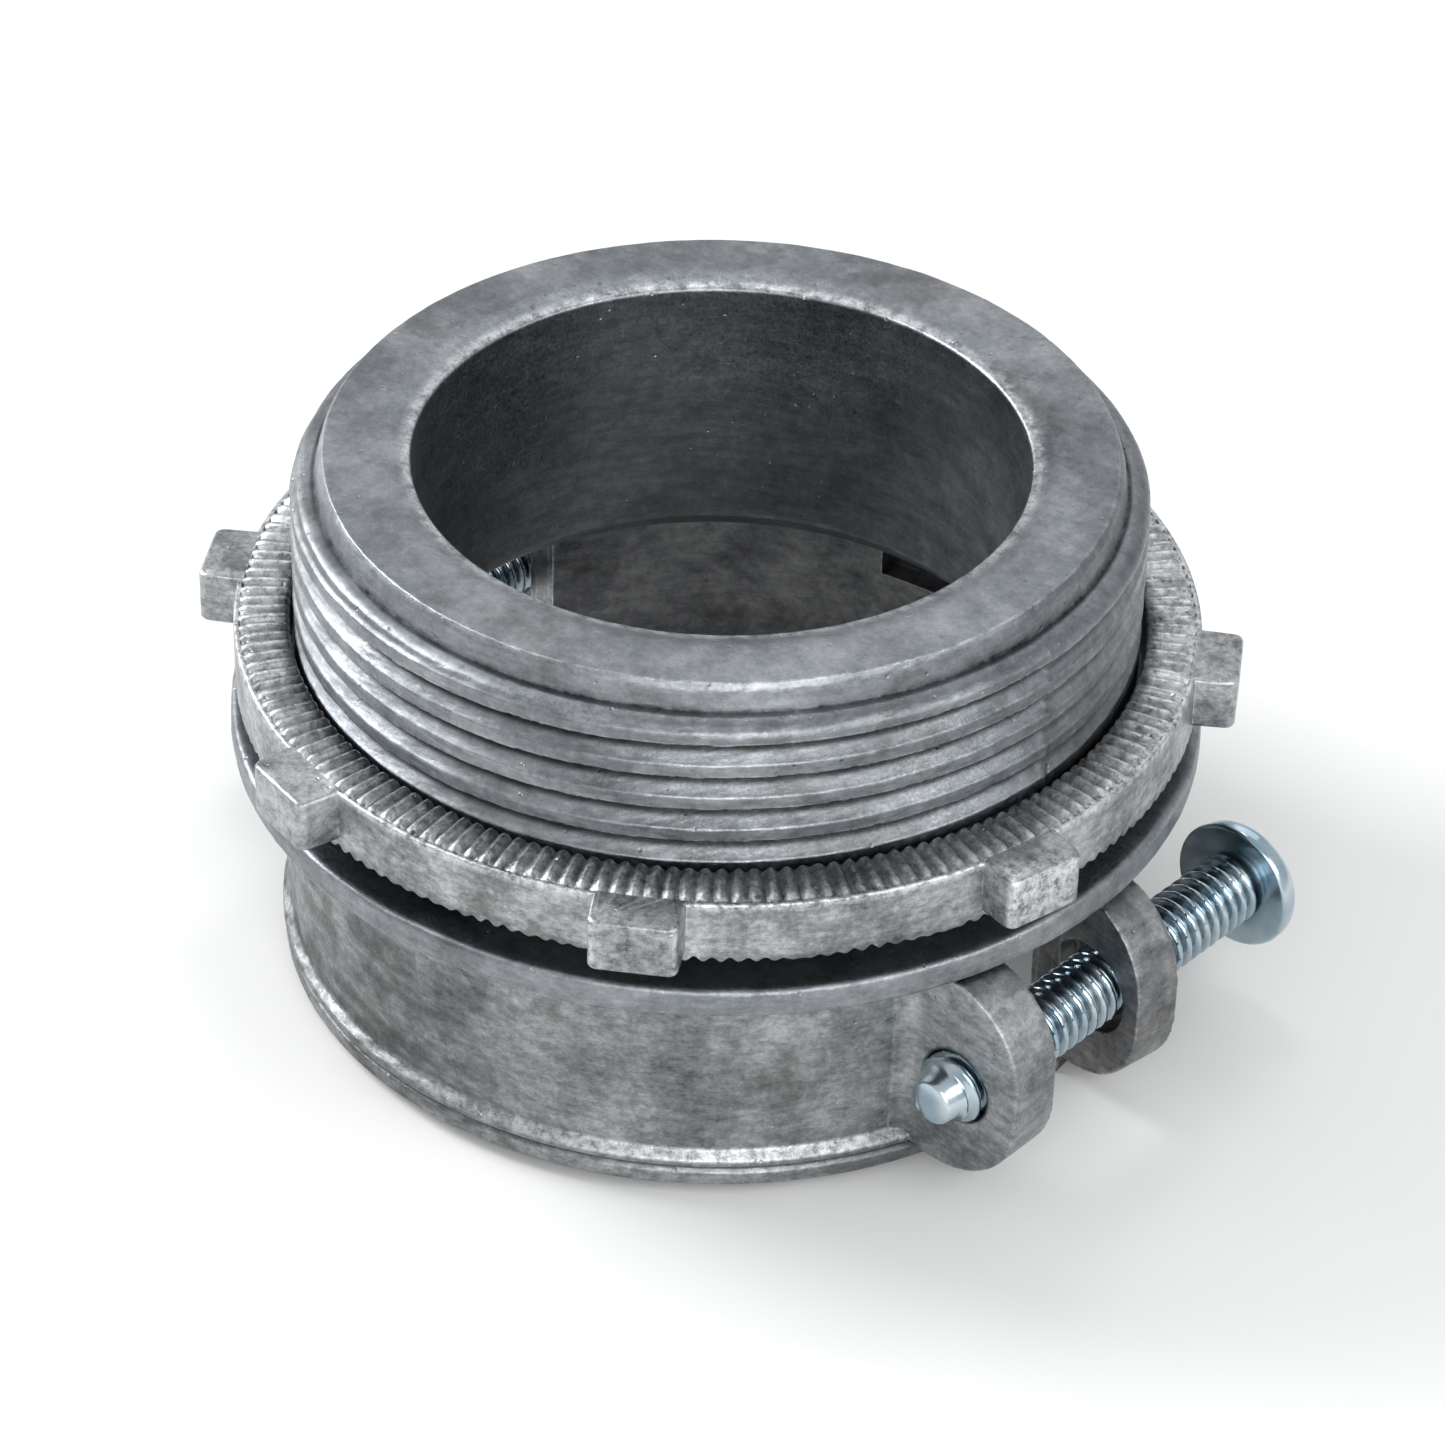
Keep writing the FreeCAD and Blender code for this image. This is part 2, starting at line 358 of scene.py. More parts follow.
@dataclass(frozen=True)
class PlatedSteel:
    """Steel with bright zinc plate and a clear-blue passivate: mirror-like, cool, slightly uneven in tint.

    The plate's real grain is a few hundredths of a millimetre, so grain_mm is drawn coarser to show.
    """

    name: str
    steel: str = "#c4d0d6"
    tint: str = "#9db4c2"
    tint_mm: float = 3.0
    grain_mm: float = 0.25
    bump_mm: float = 0.012
    rough_low: float = 0.14
    rough_high: float = 0.26
    hollow_mm: float = 1.0
    hollow_shade: float = 0.35

    def build(self) -> bpy.types.Material:
        """Makes the material.

        Returns:
            The finish, ready to assign.
        """
        material = bpy.data.materials.new(self.name)
        material.use_nodes = True
        tree = material.node_tree
        shader = tree.nodes["Principled BSDF"]
        place = add_node(tree, "ShaderNodeTexCoord").outputs["Object"]
        cloud = {"Vector": place, "Scale": 1 / (self.tint_mm * MM), "Detail": 4.0}
        film = add_node(tree, "ShaderNodeTexNoise", cloud).outputs["Fac"]
        shades = ((0.35, self.tint), (0.65, self.steel))
        colour = add_node(tree, "ShaderNodeValToRGB", {"Fac": film}, stops=shades).outputs["Color"]
        # Painted shade in the thread's roots and other hollows.
        tree.links.new(self._painted_hollow_shade(tree, colour), shader.inputs["Base Color"])
        gloss = {"Value": film, "From Min": 0.3, "From Max": 0.7}
        gloss |= {"To Min": self.rough_low, "To Max": self.rough_high}
        rough = add_node(tree, "ShaderNodeMapRange", gloss)
        tree.links.new(rough.outputs["Result"], shader.inputs["Roughness"])
        shader.inputs["Metallic"].default_value = 1.0
        fine = {"Vector": place, "Scale": 1 / (self.grain_mm * MM), "Detail": 3.0}
        grain = add_node(tree, "ShaderNodeTexNoise", fine).outputs["Fac"]
        skin = {"Height": grain, "Distance": self.bump_mm * MM, "Strength": 0.6}
        bump = add_node(tree, "ShaderNodeBump", skin)
        tree.links.new(bump.outputs["Normal"], shader.inputs["Normal"])
        return material

    def _painted_hollow_shade(self, tree: bpy.types.NodeTree, colour: bpy.types.NodeSocket) -> bpy.types.NodeSocket:
        """Paints shade into the thread's roots.

        Args:
            tree: The material's nodes.
            colour: The plate's colour.

        Returns:
            The darkened colour.
        """
        hollow = add_node(tree, "ShaderNodeAmbientOcclusion", {"Distance": self.hollow_mm * MM}, samples=4)
        reach = {"Value": hollow.outputs["AO"], "From Min": 0.3, "From Max": 0.9, "To Min": self.hollow_shade}
        shade = add_node(tree, "ShaderNodeMapRange", reach).outputs["Result"]
        blend = {"Factor": 1.0, "A": colour, "B": shade}
        return add_node(tree, "ShaderNodeMix", blend, data_type="RGBA", blend_type="MULTIPLY").outputs["Result"]


@dataclass(frozen=True)
class MattePaint:
    """Matte white paint on a studio table: even, with a faint unevenness from the roller."""

    name: str
    white: str = "#dededd"
    shade: str = "#dadad9"
    roll_mm: float = 60.0

    def build(self) -> bpy.types.Material:
        """Makes the material.

        Returns:
            The finish, ready to assign.
        """
        material = bpy.data.materials.new(self.name)
        material.use_nodes = True
        tree = material.node_tree
        shader = tree.nodes["Principled BSDF"]
        place = add_node(tree, "ShaderNodeTexCoord").outputs["Object"]
        roll = add_node(tree, "ShaderNodeTexNoise", {"Vector": place, "Scale": 1 / (self.roll_mm * MM)})
        shades = ((0.3, self.shade), (0.7, self.white))
        colour = add_node(tree, "ShaderNodeValToRGB", {"Fac": roll.outputs["Fac"]}, stops=shades)
        tree.links.new(colour.outputs["Color"], shader.inputs["Base Color"])
        shader.inputs["Roughness"].default_value = 0.8
        return material


# ---------------------------------------------------------------- mesh helpers


def box_mm(node: Node) -> tuple[Vector, Vector]:
    """A node's lowest and highest corners, in millimetres."""
    low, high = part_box(node.value)
    return Vector(low) / MM, Vector(high) / MM


def smooth_step(low: float, high: float, value: np.ndarray) -> np.ndarray:
    """Rises smoothly from 0 at low to 1 at high."""
    t = np.clip((value - low) / (high - low), 0.0, 1.0)
    return t * t * (3 - 2 * t)


def wave_noise(u: np.ndarray, v: np.ndarray, seed: int, layers: int = 14) -> np.ndarray:
    """A cheap smooth unevenness made of crossing waves.

    Args:
        u: First coordinate, in units of the feature size.
        v: Second coordinate, in the same units.
        seed: Which pattern.
        layers: How many waves are added.

    Returns:
        Values of about -1 to 1.
    """
    rng = np.random.default_rng(seed)
    total = np.zeros(np.broadcast(u, v).shape)
    for _ in range(layers):
        turn, phase = rng.uniform(0, 2 * math.pi, 2)
        rate = rng.uniform(0.5, 2.0) * math.pi
        total += np.sin(rate * (u * math.cos(turn) + v * math.sin(turn)) + phase)
    return total / math.sqrt(layers)


def mesh_object(
    name: str, points: np.ndarray, faces: Sequence[Sequence[int]], marks: dict[str, np.ndarray] | None = None
) -> bpy.types.Object:
    """Makes a linked mesh object from points in millimetres.

    Args:
        name: The piece's name.
        points: One row of three numbers for each vertex.
        faces: Vertex numbers of each face.
        marks: The painted shade and painted highlight at each vertex, from 0 to 1.

    Returns:
        The new object, smooth shaded.
    """
    mesh = bpy.data.meshes.new(name)
    mesh.from_pydata((points * MM).tolist(), [], faces)
    mesh.validate()
    mesh.polygons.foreach_set("use_smooth", [True] * len(mesh.polygons))
    for mark, share in (marks or {}).items():
        mesh.attributes.new(mark, "FLOAT", "POINT").data.foreach_set("value", share.ravel().astype(np.float32))
    made = bpy.data.objects.new(name, mesh)
    bpy.context.scene.collection.objects.link(made)
    return made


def grid_faces(rows: int, columns: int, wrap_rows: bool, wrap_columns: bool) -> list[list[int]]:
    """Makes quads between the points of a grid that is stored row by row.

    Args:
        rows: How many rows the grid has.
        columns: How many points each row has.
        wrap_rows: Whether the last row joins the first.
        wrap_columns: Whether each row closes on itself.

    Returns:
        Four point numbers for each quad.
    """
    down = np.arange(rows if wrap_rows else rows - 1)
    along = np.arange(columns if wrap_columns else columns - 1)
    i, j = np.meshgrid(down, along, indexing="ij")
    below, beside = (i + 1) % rows, (j + 1) % columns
    quads = np.stack([i * columns + j, i * columns + beside, below * columns + beside, below * columns + j], -1)
    return quads.reshape(-1, 4).tolist()


def turned_points(radius: np.ndarray, height: np.ndarray, angle: np.ndarray) -> np.ndarray:
    """Points from radius, height and angle arrays of one shape, flattened row by row."""
    return np.stack([radius * np.cos(angle), radius * np.sin(angle), height], -1).reshape(-1, 3)


def points_between(start: np.ndarray, end: np.ndarray, step: float) -> list[np.ndarray]:
    """Divides a straight run evenly.

    Args:
        start: Its first point.
        end: Its last point.
        step: The longest gap that is left.

    Returns:
        The points between the two ends.
    """
    run = end - start
    pieces = int(np.linalg.norm(run) / step)
    return [start + run * n / (pieces + 1) for n in range(1, pieces + 1)]


def rounded_path(corners: Sequence[tuple[float, float, float]], step: float) -> np.ndarray:
    """Walks a closed outline, rounding each corner and adding points along long runs.

    Args:
        corners: (radius, height, rounding) of each corner, in order.
        step: The longest gap between points on a straight run.

    Returns:
        The outline's (radius, height) points.
    """
    out: list[np.ndarray] = []
    count = len(corners)
    for k in range(count):
        here = np.array(corners[k][:2])
        before = np.array(corners[k - 1][:2]) - here
        after = np.array(corners[(k + 1) % count][:2]) - here
        reach = min(corners[k][2], 0.45 * np.linalg.norm(before), 0.45 * np.linalg.norm(after))
        start = here + before / np.linalg.norm(before) * reach
        end = here + after / np.linalg.norm(after) * reach
        if reach < 1e-6:
            bend = [here]
        else:
            bend = [(1 - t) ** 2 * start + 2 * t * (1 - t) * here + t * t * end for t in np.linspace(0, 1, 6)]
        if out:
            out += points_between(out[-1], bend[0], step)
        out += bend
    return np.array(out + points_between(out[-1], out[0], step))


def stacked_object(name: str, loops: Sequence[np.ndarray]) -> bpy.types.Object:
    """Makes a closed solid from loops of equal length, capped at the first and the last.

    Args:
        name: The piece's name.
        loops: The loops' points in millimetres, one array for each level.

    Returns:
        The solid, with its faces outwards.
    """
    count = len(loops[0])
    last = (len(loops) - 1) * count
    faces = grid_faces(len(loops), count, False, True)
    faces += [list(range(count)), list(range(last, last + count))]
    made = mesh_object(name, np.vstack(loops), faces)
    face_outwards(made)
    return made


def prism_object(name: str, outline: np.ndarray, low_y: float, high_y: float) -> bpy.types.Object:
    """Makes a prism along Y from an outline in the XZ plane."""
    levels = [np.full(len(outline), y) for y in (low_y, high_y)]
    return stacked_object(name, [np.column_stack([outline[:, 0], y, outline[:, 1]]) for y in levels])


def upright_object(name: str, outline: np.ndarray, low_z: float, high_z: float) -> bpy.types.Object:
    """Makes a prism along Z from an outline in the XY plane."""
    levels = [np.full(len(outline), z) for z in (low_z, high_z)]
    return stacked_object(name, [np.column_stack([outline, z]) for z in levels])


def face_outwards(piece: bpy.types.Object) -> None:
    """Makes every face of a closed mesh point outwards.

    Args:
        piece: The closed mesh, changed in place.
    """
    shape = bmesh.new()
    shape.from_mesh(piece.data)
    bmesh.ops.recalc_face_normals(shape, faces=shape.faces)
    shape.to_mesh(piece.data)
    shape.free()


def applied(piece: bpy.types.Object) -> bpy.types.Object:
    """Bakes an object's modifiers into its mesh.

    Args:
        piece: The object with the modifiers.

    Returns:
        The same object.
    """
    bpy.context.view_layer.update()
    graph = bpy.context.evaluated_depsgraph_get()
    mesh = bpy.data.meshes.new_from_object(piece.evaluated_get(graph))
    piece.modifiers.clear()
    piece.data = mesh
    return piece


def boolean(piece: bpy.types.Object, tool: bpy.types.Object, operation: Operation) -> bpy.types.Object:
    """Cuts or joins one closed mesh with another and removes the tool.

    Args:
        piece: The mesh that is kept.
        tool: The mesh that is used up.
        operation: Whether the tool cuts or joins.

    Returns:
        The changed piece.
    """
    step = piece.modifiers.new(operation.name, "BOOLEAN")
    step.operation, step.object, step.solver = operation.value, tool, "EXACT"
    applied(piece)
    bpy.data.objects.remove(tool)
    return piece


def joined(name: str, pieces: Sequence[bpy.types.Object]) -> bpy.types.Object:
    """Puts several meshes into one object without welding them.

    Args:
        name: The new object's name.
        pieces: The meshes, which are used up.

    Returns:
        The new object.
    """
    shape = bmesh.new()
    for piece in pieces:
        shape.from_mesh(piece.data)
    mesh = bpy.data.meshes.new(name)
    shape.to_mesh(mesh)
    shape.free()
    for piece in pieces:
        bpy.data.objects.remove(piece)
    made = bpy.data.objects.new(name, mesh)
    bpy.context.scene.collection.objects.link(made)
    return made


def cast_skin(piece: bpy.types.Object, voxel_mm: float, passes: int) -> bpy.types.Object:
    """Melts overlapping solids into one skin with the small radii that a casting has.

    Args:
        piece: Closed meshes that overlap, in one object.
        voxel_mm: The skin's grid size.
        passes: How many times the skin is relaxed.

    Returns:
        The same object with its new mesh.
    """
    melt = piece.modifiers.new("melt", "REMESH")
    melt.mode, melt.voxel_size = "VOXEL", voxel_mm * MM
    relax = piece.modifiers.new("relax", "SMOOTH")
    relax.factor, relax.iterations = 0.5, passes
    applied(piece)
    piece.data.polygons.foreach_set("use_smooth", [True] * len(piece.data.polygons))
    return piece


def dress(piece: bpy.types.Object, material: bpy.types.Material, node: Node) -> None:
    """Gives a piece its material, body and slot, and reports it.

    Args:
        piece: The piece.
        material: Its finish.
        node: The CAD node that it stands for, and the body of that name that it rides on.
    """
    piece.data.materials.clear()
    piece.data.materials.append(material)
    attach(piece, node.value)
    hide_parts(node.value)
    LOG.info("%s: %d faces on %s", piece.name, len(piece.data.polygons), node.value)


# ---------------------------------------------------------------- connector body


@dataclass
class Nipple:
    """The threaded nipple with its throat and flange, sizes in millimetres."""

    crest_r: float = 36.3
    depth: float = 1.4
    pitch: float = 3.175
    crest_share: float = 0.36
    crest_edge_z: float = 20.45
    edge_angle: float = math.radians(-48.2)
    top_z: float = 24.6
    lip_r: float = 33.8
    lead_r: float = 34.2
    lead_z: float = 22.3
    first_crest_z: float = 20.9
    throat_r: float = 26.05
    throat_bottom_z: float = 0.0
    mouth_width: float = 2.25
    mouth_depth: float = 0.6
    flange_r: float = 42.0
    flange_depth: float = 2.5
    mismatch: float = 0.22
    back_shallow: float = 0.45
    back_inset: float = 0.12
    seam_ridge: float = 0.11
    chatter_share: float = 0.012
    # Strength of the painted shade in the thread's roots.
    root_shade: float = 0.85
    # Strength of the painted highlight on the mouth's bevel.
    rim_highlight: float = 0.55
    columns: int = 900
    row_mm: float = 0.10

    def build(self) -> bpy.types.Object:
        """Makes the mesh as one closed grid that runs down the outside and up the throat.

        Returns:
            The nipple with its flange.
        """
        low, high = box_mm(Node.BODY)
        self.top_z, self.flange_r = high.z, -low.y
        outside = np.arange(self.lead_z, 0.35, -self.row_mm)
        rest = self._plain_outline()
        angle = np.linspace(0, 2 * math.pi, self.columns, endpoint=False)
        thread_r, thread_shade = self._thread(outside[:, None], angle[None, :])
        thread_z = outside[:, None] + 0 * angle[None, :]
        rest_r = rest[:, :1] + 0 * angle[None, :]
        rest_z = rest[:, 1:] + 0 * angle[None, :]
        radius = np.vstack([thread_r, rest_r])
        height = np.vstack([thread_z, rest_z])
        radius, height = self._uneven(radius, height, angle[None, :])
        points = turned_points(radius, height, angle[None, :] + 0 * radius)
        rim = self._rim_highlight_mark(rest_r, rest_z)
        # Painted shade in the thread's roots; painted highlight on the mouth's bevel.
        marks = {"painted_shade": np.vstack([thread_shade, 0 * rest_r]), "painted_highlight": np.vstack([0 * thread_r, rim])}
        made = mesh_object("threaded_nipple", points, grid_faces(len(radius), self.columns, True, True), marks)
        face_outwards(made)
        return made

    def _rim_highlight_mark(self, radius: np.ndarray, height: np.ndarray) -> np.ndarray:
        """Says how strong the painted highlight on the mouth's bevel is, most at its inner edge.

        Args:
            radius: Each point's distance from the axis.
            height: Each point's height.

        Returns:
            The mark of painted highlight.
        """
        near = 1 - smooth_step(self.throat_r + 0.5, self.throat_r + 1.3, radius)
        return self.rim_highlight * near * (height > self.top_z - self.mouth_depth - 0.1)

    def _plain_outline(self) -> np.ndarray:
        """Lays out the outline from the thread's foot round the flange and throat to the thread's lead.

        Returns:
            The outline's (radius, height) points.
        """
        bottom = -self.flange_depth
        flare = self.throat_bottom_z - bottom
        corners = [
            (self.crest_r - 0.5, 0.0, 0.25),
            (self.flange_r - 0.05, 0.0, 0.7),
            (self.flange_r, bottom, 0.35),
            (self.throat_r + flare, bottom, 0.3),
            (self.throat_r, self.throat_bottom_z, 0.5),
            (self.throat_r, self.top_z - self.mouth_depth, 0.35),
            (self.throat_r + self.mouth_width, self.top_z, 0.6),
            (self.lip_r - 0.55, self.top_z, 0.3),
            (self.lip_r - 0.35, self.top_z, 0.2),
            (self.lip_r, self.top_z - 0.5, 0.35),
            (self.lead_r, self.lead_z + 0.12, 0.12),
        ]
        return rounded_path(corners, 0.45)

    def _thread(self, z: np.ndarray, angle: np.ndarray) -> tuple[np.ndarray, np.ndarray]:
        """Works out the outside radius and the painted shade at each height and angle.

        Args:
            z: Heights, as a column.
            angle: Angles, as a row.

        Returns:
            Radii in millimetres, and how much shade is painted at each point, deepest in the roots.
        """
        run_in = np.clip((self.lead_z - z) / (self.lead_z - self.first_crest_z), 0, 1)
        lead = np.sqrt(1 - (1 - run_in) ** 2)
        envelope = self.lead_r + (self.crest_r - self.lead_r) * lead
        wrapped = (angle - self.edge_angle + math.pi) % (2 * math.pi) - math.pi
        back_half = self._back_half(angle)
        edge_z = self.crest_edge_z + self.pitch * wrapped / (2 * math.pi) - self.mismatch * back_half
        below = ((edge_z - z) / self.pitch) % 1.0
        ragged = wave_noise(self.crest_r * angle / 0.7, z / 2.0, 21)
        chatter = self.chatter_share * smooth_step(5.0, 10.0, z) * ragged
        groove = self._groove_shape(below, chatter)
        fade = smooth_step(self.lead_z - 0.3, self.lead_z - 1.3, z) * smooth_step(0.3, 1.2, z)
        deep = fade * (1 - self.back_shallow * back_half)
        ridge = self.seam_ridge * self._seam(angle) * (1 - groove)
        radius = envelope - self.depth * deep * groove - self.back_inset * back_half + ridge
        # Painted shade under each crest's edge, in the thread's root.
        root = smooth_step(0.02, 0.07, below) * (1 - smooth_step(0.31, 0.44, below))
        return radius, self.root_shade * deep * root

    def _groove_shape(self, below: np.ndarray, chatter: np.ndarray) -> np.ndarray:
        """Says how deep the thread is, 0 on the crest to 1 at the root.

        Args:
            below: The share of the pitch below the crest's lower edge.
            chatter: How ragged that edge is, in the same unit.

        Returns:
            The depth's share.
        """
        root_end = 0.15
        under = smooth_step(0.0, 0.09, below + chatter)
        flank = 1 - np.clip((below - root_end) / (1 - self.crest_share - root_end), 0, 1)
        return np.where(below < root_end, under, flank**0.85)

    def _back_half(self, angle: np.ndarray) -> np.ndarray:
        """1 on the +Y half of the die, whose thread is shallower, and 0 on the -Y half."""
        width = math.radians(0.6)
        return smooth_step(-width, width, np.sin(angle))

    def _seam(self, angle: np.ndarray) -> np.ndarray:
        """1 on the die's two parting lines and 0 elsewhere."""
        return np.exp(-((np.sin(angle) / math.radians(0.45)) ** 2))

    def _uneven(
        self, radius: np.ndarray, height: np.ndarray, angle: np.ndarray
    ) -> tuple[np.ndarray, np.ndarray]:
        """Adds the slight unevenness of a casting, without leaving the nominal outline.

        Args:
            radius: Each point's distance from the axis.
            height: Each point's height.
            angle: Each point's angle about the axis.

        Returns:
            The uneven radius and the height.
        """
        broad = wave_noise(radius * angle / 9.0, height / 5.0, 3)
        fine = wave_noise(radius * angle / 1.3, height / 0.8, 5)
        push = 0.035 * np.abs(broad) + 0.02 * np.abs(fine)
        outer = radius > 30
        return np.where(outer, radius - push, radius), height


@dataclass
class Saddle:
    """Half of the clamp ring with its two ears, on the -Y side, sizes in millimetres."""

    name: str
    ring_top: float
    ear_r: float
    hole_r: float
    pocket_half_angle: float = 0.0
    pocket_depth: float = 0.0
    pocket_wall: float = 1.0
    inner_r: float = 34.1
    outer_r: float = 37.3
    bottom_z: float = -24.1
    proud: float = 0.8
    lip_height: float = 1.9
    bead_height: float = 1.5
    half_gap: float = 8.8
    ear_thickness: float = 5.1
    ear_x: float = 38.05
    ear_top_z: float = -11.0
    ear_bottom_z: float = -14.3
    ear_root_x: float = 33.6
    screw_x: float = 39.7
    hole_z: float = -13.6
    fillet: float = 2.2
    voxel_mm: float = 0.2

    def build(self) -> bpy.types.Object:
        """Makes the crisp half ring, and the ears with their webs as soft cast skins that grow out of it.

        Returns:
            The half saddle on the -Y side.
        """
        parts = [self._half_ring()]
        for side in (1, -1):
            ear = joined("ear_and_web", [self._ear(side), self._web(side)])
            parts.append(cast_skin(ear, self.voxel_mm, 3))
        return joined(self.name, parts)

    def _ring_outline(self) -> list[tuple[float, float, float]]:
        """Lays out the ring's section.

        Returns:
            Radius, height and rounding of each corner.
        """
        proud_r = self.outer_r + self.proud
        lip_top = self.bottom_z + self.lip_height
        bead_top = lip_top + self.bead_height
        return [
            (self.inner_r, self.ring_top, 0.3),
            (self.outer_r, self.ring_top, 0.3),
            (self.outer_r, bead_top, 0.25),
            (proud_r, bead_top - 0.75, 0.25),
            (proud_r, lip_top + 0.25, 0.15),
            (proud_r - 0.5, lip_top, 0.15),
            (proud_r - 0.4, lip_top - 0.35, 0.15),
            (proud_r - 0.15, lip_top - 0.6, 0.2),
            (proud_r - 0.15, self.bottom_z, 0.35),
            (self.inner_r, self.bottom_z, 0.3),
        ]

    def _half_ring(self) -> bpy.types.Object:
        """Turns the ring's section through the half, ending on the flat parting plane.

        Returns:
            The half ring, with its pocket if it has one.
        """
        outline = rounded_path(self._ring_outline(), 0.4)
        columns = 360
        share = np.linspace(0, 1, columns)[None, :]
        radius = outline[:, :1] + 0 * share
        end = math.pi + np.arcsin(self.half_gap / radius)
        angle = end + (3 * math.pi - 2 * end) * share
        height = outline[:, 1:] + 0 * share
        broad = wave_noise(radius * angle / 7.0, height / 4.0, 31)
        fine = wave_noise(radius * angle / 1.1, height / 0.9, 32)
        outside = radius > 0.5 * (self.inner_r + self.outer_r)
        radius = radius - np.where(outside, 0.03 * np.abs(broad) + 0.018 * np.abs(fine), 0.0)
        points = turned_points(radius, height, angle)
        rows = len(outline)
        faces = grid_faces(rows, columns, True, False)
        faces.append([k * columns for k in range(rows)])
        faces.append([k * columns + columns - 1 for k in range(rows)][::-1])
        made = mesh_object("half_ring", points, faces, self._ring_marks(radius, height, angle))
        face_outwards(made)
        if self.pocket_depth:
            made = boolean(made, self._pocket(), Operation.CUT)
        made.data.set_sharp_from_angle(angle=math.radians(55))
        return made

    def _ring_marks(self, radius: np.ndarray, height: np.ndarray, angle: np.ndarray) -> dict[str, np.ndarray]:
        """Says where a highlight and where shade is painted on the ring.

        Args:
            radius: Each point's distance from the axis.
            height: Each point's height.
            angle: Each point's angle about the axis.

        Returns:
            A painted highlight on the bead's slope, weaker on the -X flank; painted shade in the groove under
            it and in streaks over the -X flank.
        """
        lip_top = self.bottom_z + self.lip_height
        bead_top = lip_top + self.bead_height
        outside = radius > self.outer_r - 0.4
        # Painted highlight on the bead's slope.
        above = smooth_step(bead_top, bead_top + 0.3, height)
        slope = smooth_step(bead_top - 1.0, bead_top - 0.75, height) * (1 - above)
        # Painted shade in the groove under the bead.
        groove = 0.75 * np.exp(-(((height - lip_top + 0.1) / 0.28) ** 2))
        # Painted shade over the -X flank, in streaks; the painted highlight is weaker there.
        flank = smooth_step(math.radians(300), math.radians(262), angle)
        shade_streaks = smooth_step(-0.5, 0.9, wave_noise(radius * angle / 3.2, height / 2.0, 33))
        dark_patch = flank * (0.12 + 0.45 * shade_streaks)
        return {
            "painted_highlight": np.where(outside, 0.4 * slope * (1 - 0.6 * flank), 0.0),
            "painted_shade": np.where(outside, np.maximum(groove, dark_patch), 0.0),
        }

    def _ear_outline(self) -> np.ndarray:
        """Lays out the ear, square at the root and round outside.

        Returns:
            The outline's (x, z) points.
        """
        radius = self.ear_r
        arc = np.linspace(math.pi / 2, 0, 24)
        out, up = self.ear_x + radius * np.cos(arc), radius * np.sin(arc)
        high = np.column_stack([out, self.ear_top_z + up])
        low = np.column_stack([out, self.ear_bottom_z - up])[::-1]
        root = [[self.ear_root_x, self.ear_bottom_z - radius], [self.ear_root_x, self.ear_top_z + radius]]
        return np.vstack([high, low, root])

    def _ear(self, side: int) -> bpy.types.Object:
        """Makes one ear with its screw hole.

        Args:
            side: 1 for +X and -1 for -X.

        Returns:
            The ear.
        """
        front = -self.half_gap - self.ear_thickness
        outline = self._ear_outline() * np.array([side, 1.0])
        solid = prism_object("ear", outline, front, -self.half_gap)
        return boolean(solid, self._hole(side), Operation.CUT)

    def _hole(self, side: int) -> bpy.types.Object:
        """Makes the drill that cuts the screw hole, with a small countersink on the outer face.

        Args:
            side: 1 for +X and -1 for -X.

        Returns:
            The drill.
        """
        front = -self.half_gap - self.ear_thickness
        wide = self.hole_r + 2.3
        corners = ((wide, front - 2.0), (self.hole_r, front + 0.35), (self.hole_r, -self.half_gap + 2.0))
        angle = np.linspace(0, 2 * math.pi, 96, endpoint=False)
        across, up = side * self.screw_x, self.hole_z
        x, z = np.cos(angle), np.sin(angle)
        loops = [np.column_stack([across + r * x, 0 * angle + y, up + r * z]) for r, y in corners]
        return stacked_object("drill", loops)

    def _web(self, side: int) -> bpy.types.Object:
        """Makes the hollow radius that leads the ring's wall into the ear's outer face.

        Args:
            side: 1 for +X and -1 for -X.

        Returns:
            The web.
        """
        front = -self.half_gap - self.ear_thickness
        centre_y = front - self.fillet
        centre_x = math.sqrt((self.outer_r + self.fillet) ** 2 - centre_y**2)
        touch = math.atan2(-centre_y, -centre_x)
        arc = np.linspace(math.pi / 2, touch, 16)
        curve = np.column_stack([centre_x + self.fillet * np.cos(arc), centre_y + self.fillet * np.sin(arc)])
        inner_x = self.ear_root_x - 1.2
        foot_y, back_y = centre_y + self.fillet * math.sin(touch), front + 0.6
        tail = [[inner_x, foot_y], [inner_x, back_y], [centre_x, back_y]]
        flat = np.vstack([curve, tail]) * np.array([side, 1.0])
        low, high = self.ear_bottom_z - self.ear_r + 0.8, self.ear_top_z + self.ear_r - 0.2
        return upright_object("web", flat, low, high)

    def _pocket(self) -> bpy.types.Object:
        """Makes the tool that sinks a pocket into the inner wall, open at the ring's top edge.

        Returns:
            The tool.
        """
        spread = np.linspace(-self.pocket_half_angle, self.pocket_half_angle, 40) - math.pi / 2
        arcs = [(self.outer_r - self.pocket_wall, spread), (self.inner_r - 3.0, spread[::-1])]
        outline = np.vstack([np.column_stack([r * np.cos(a), r * np.sin(a)]) for r, a in arcs])
        return upright_object("pocket", outline, self.ring_top - self.pocket_depth, self.ring_top + 2.0)


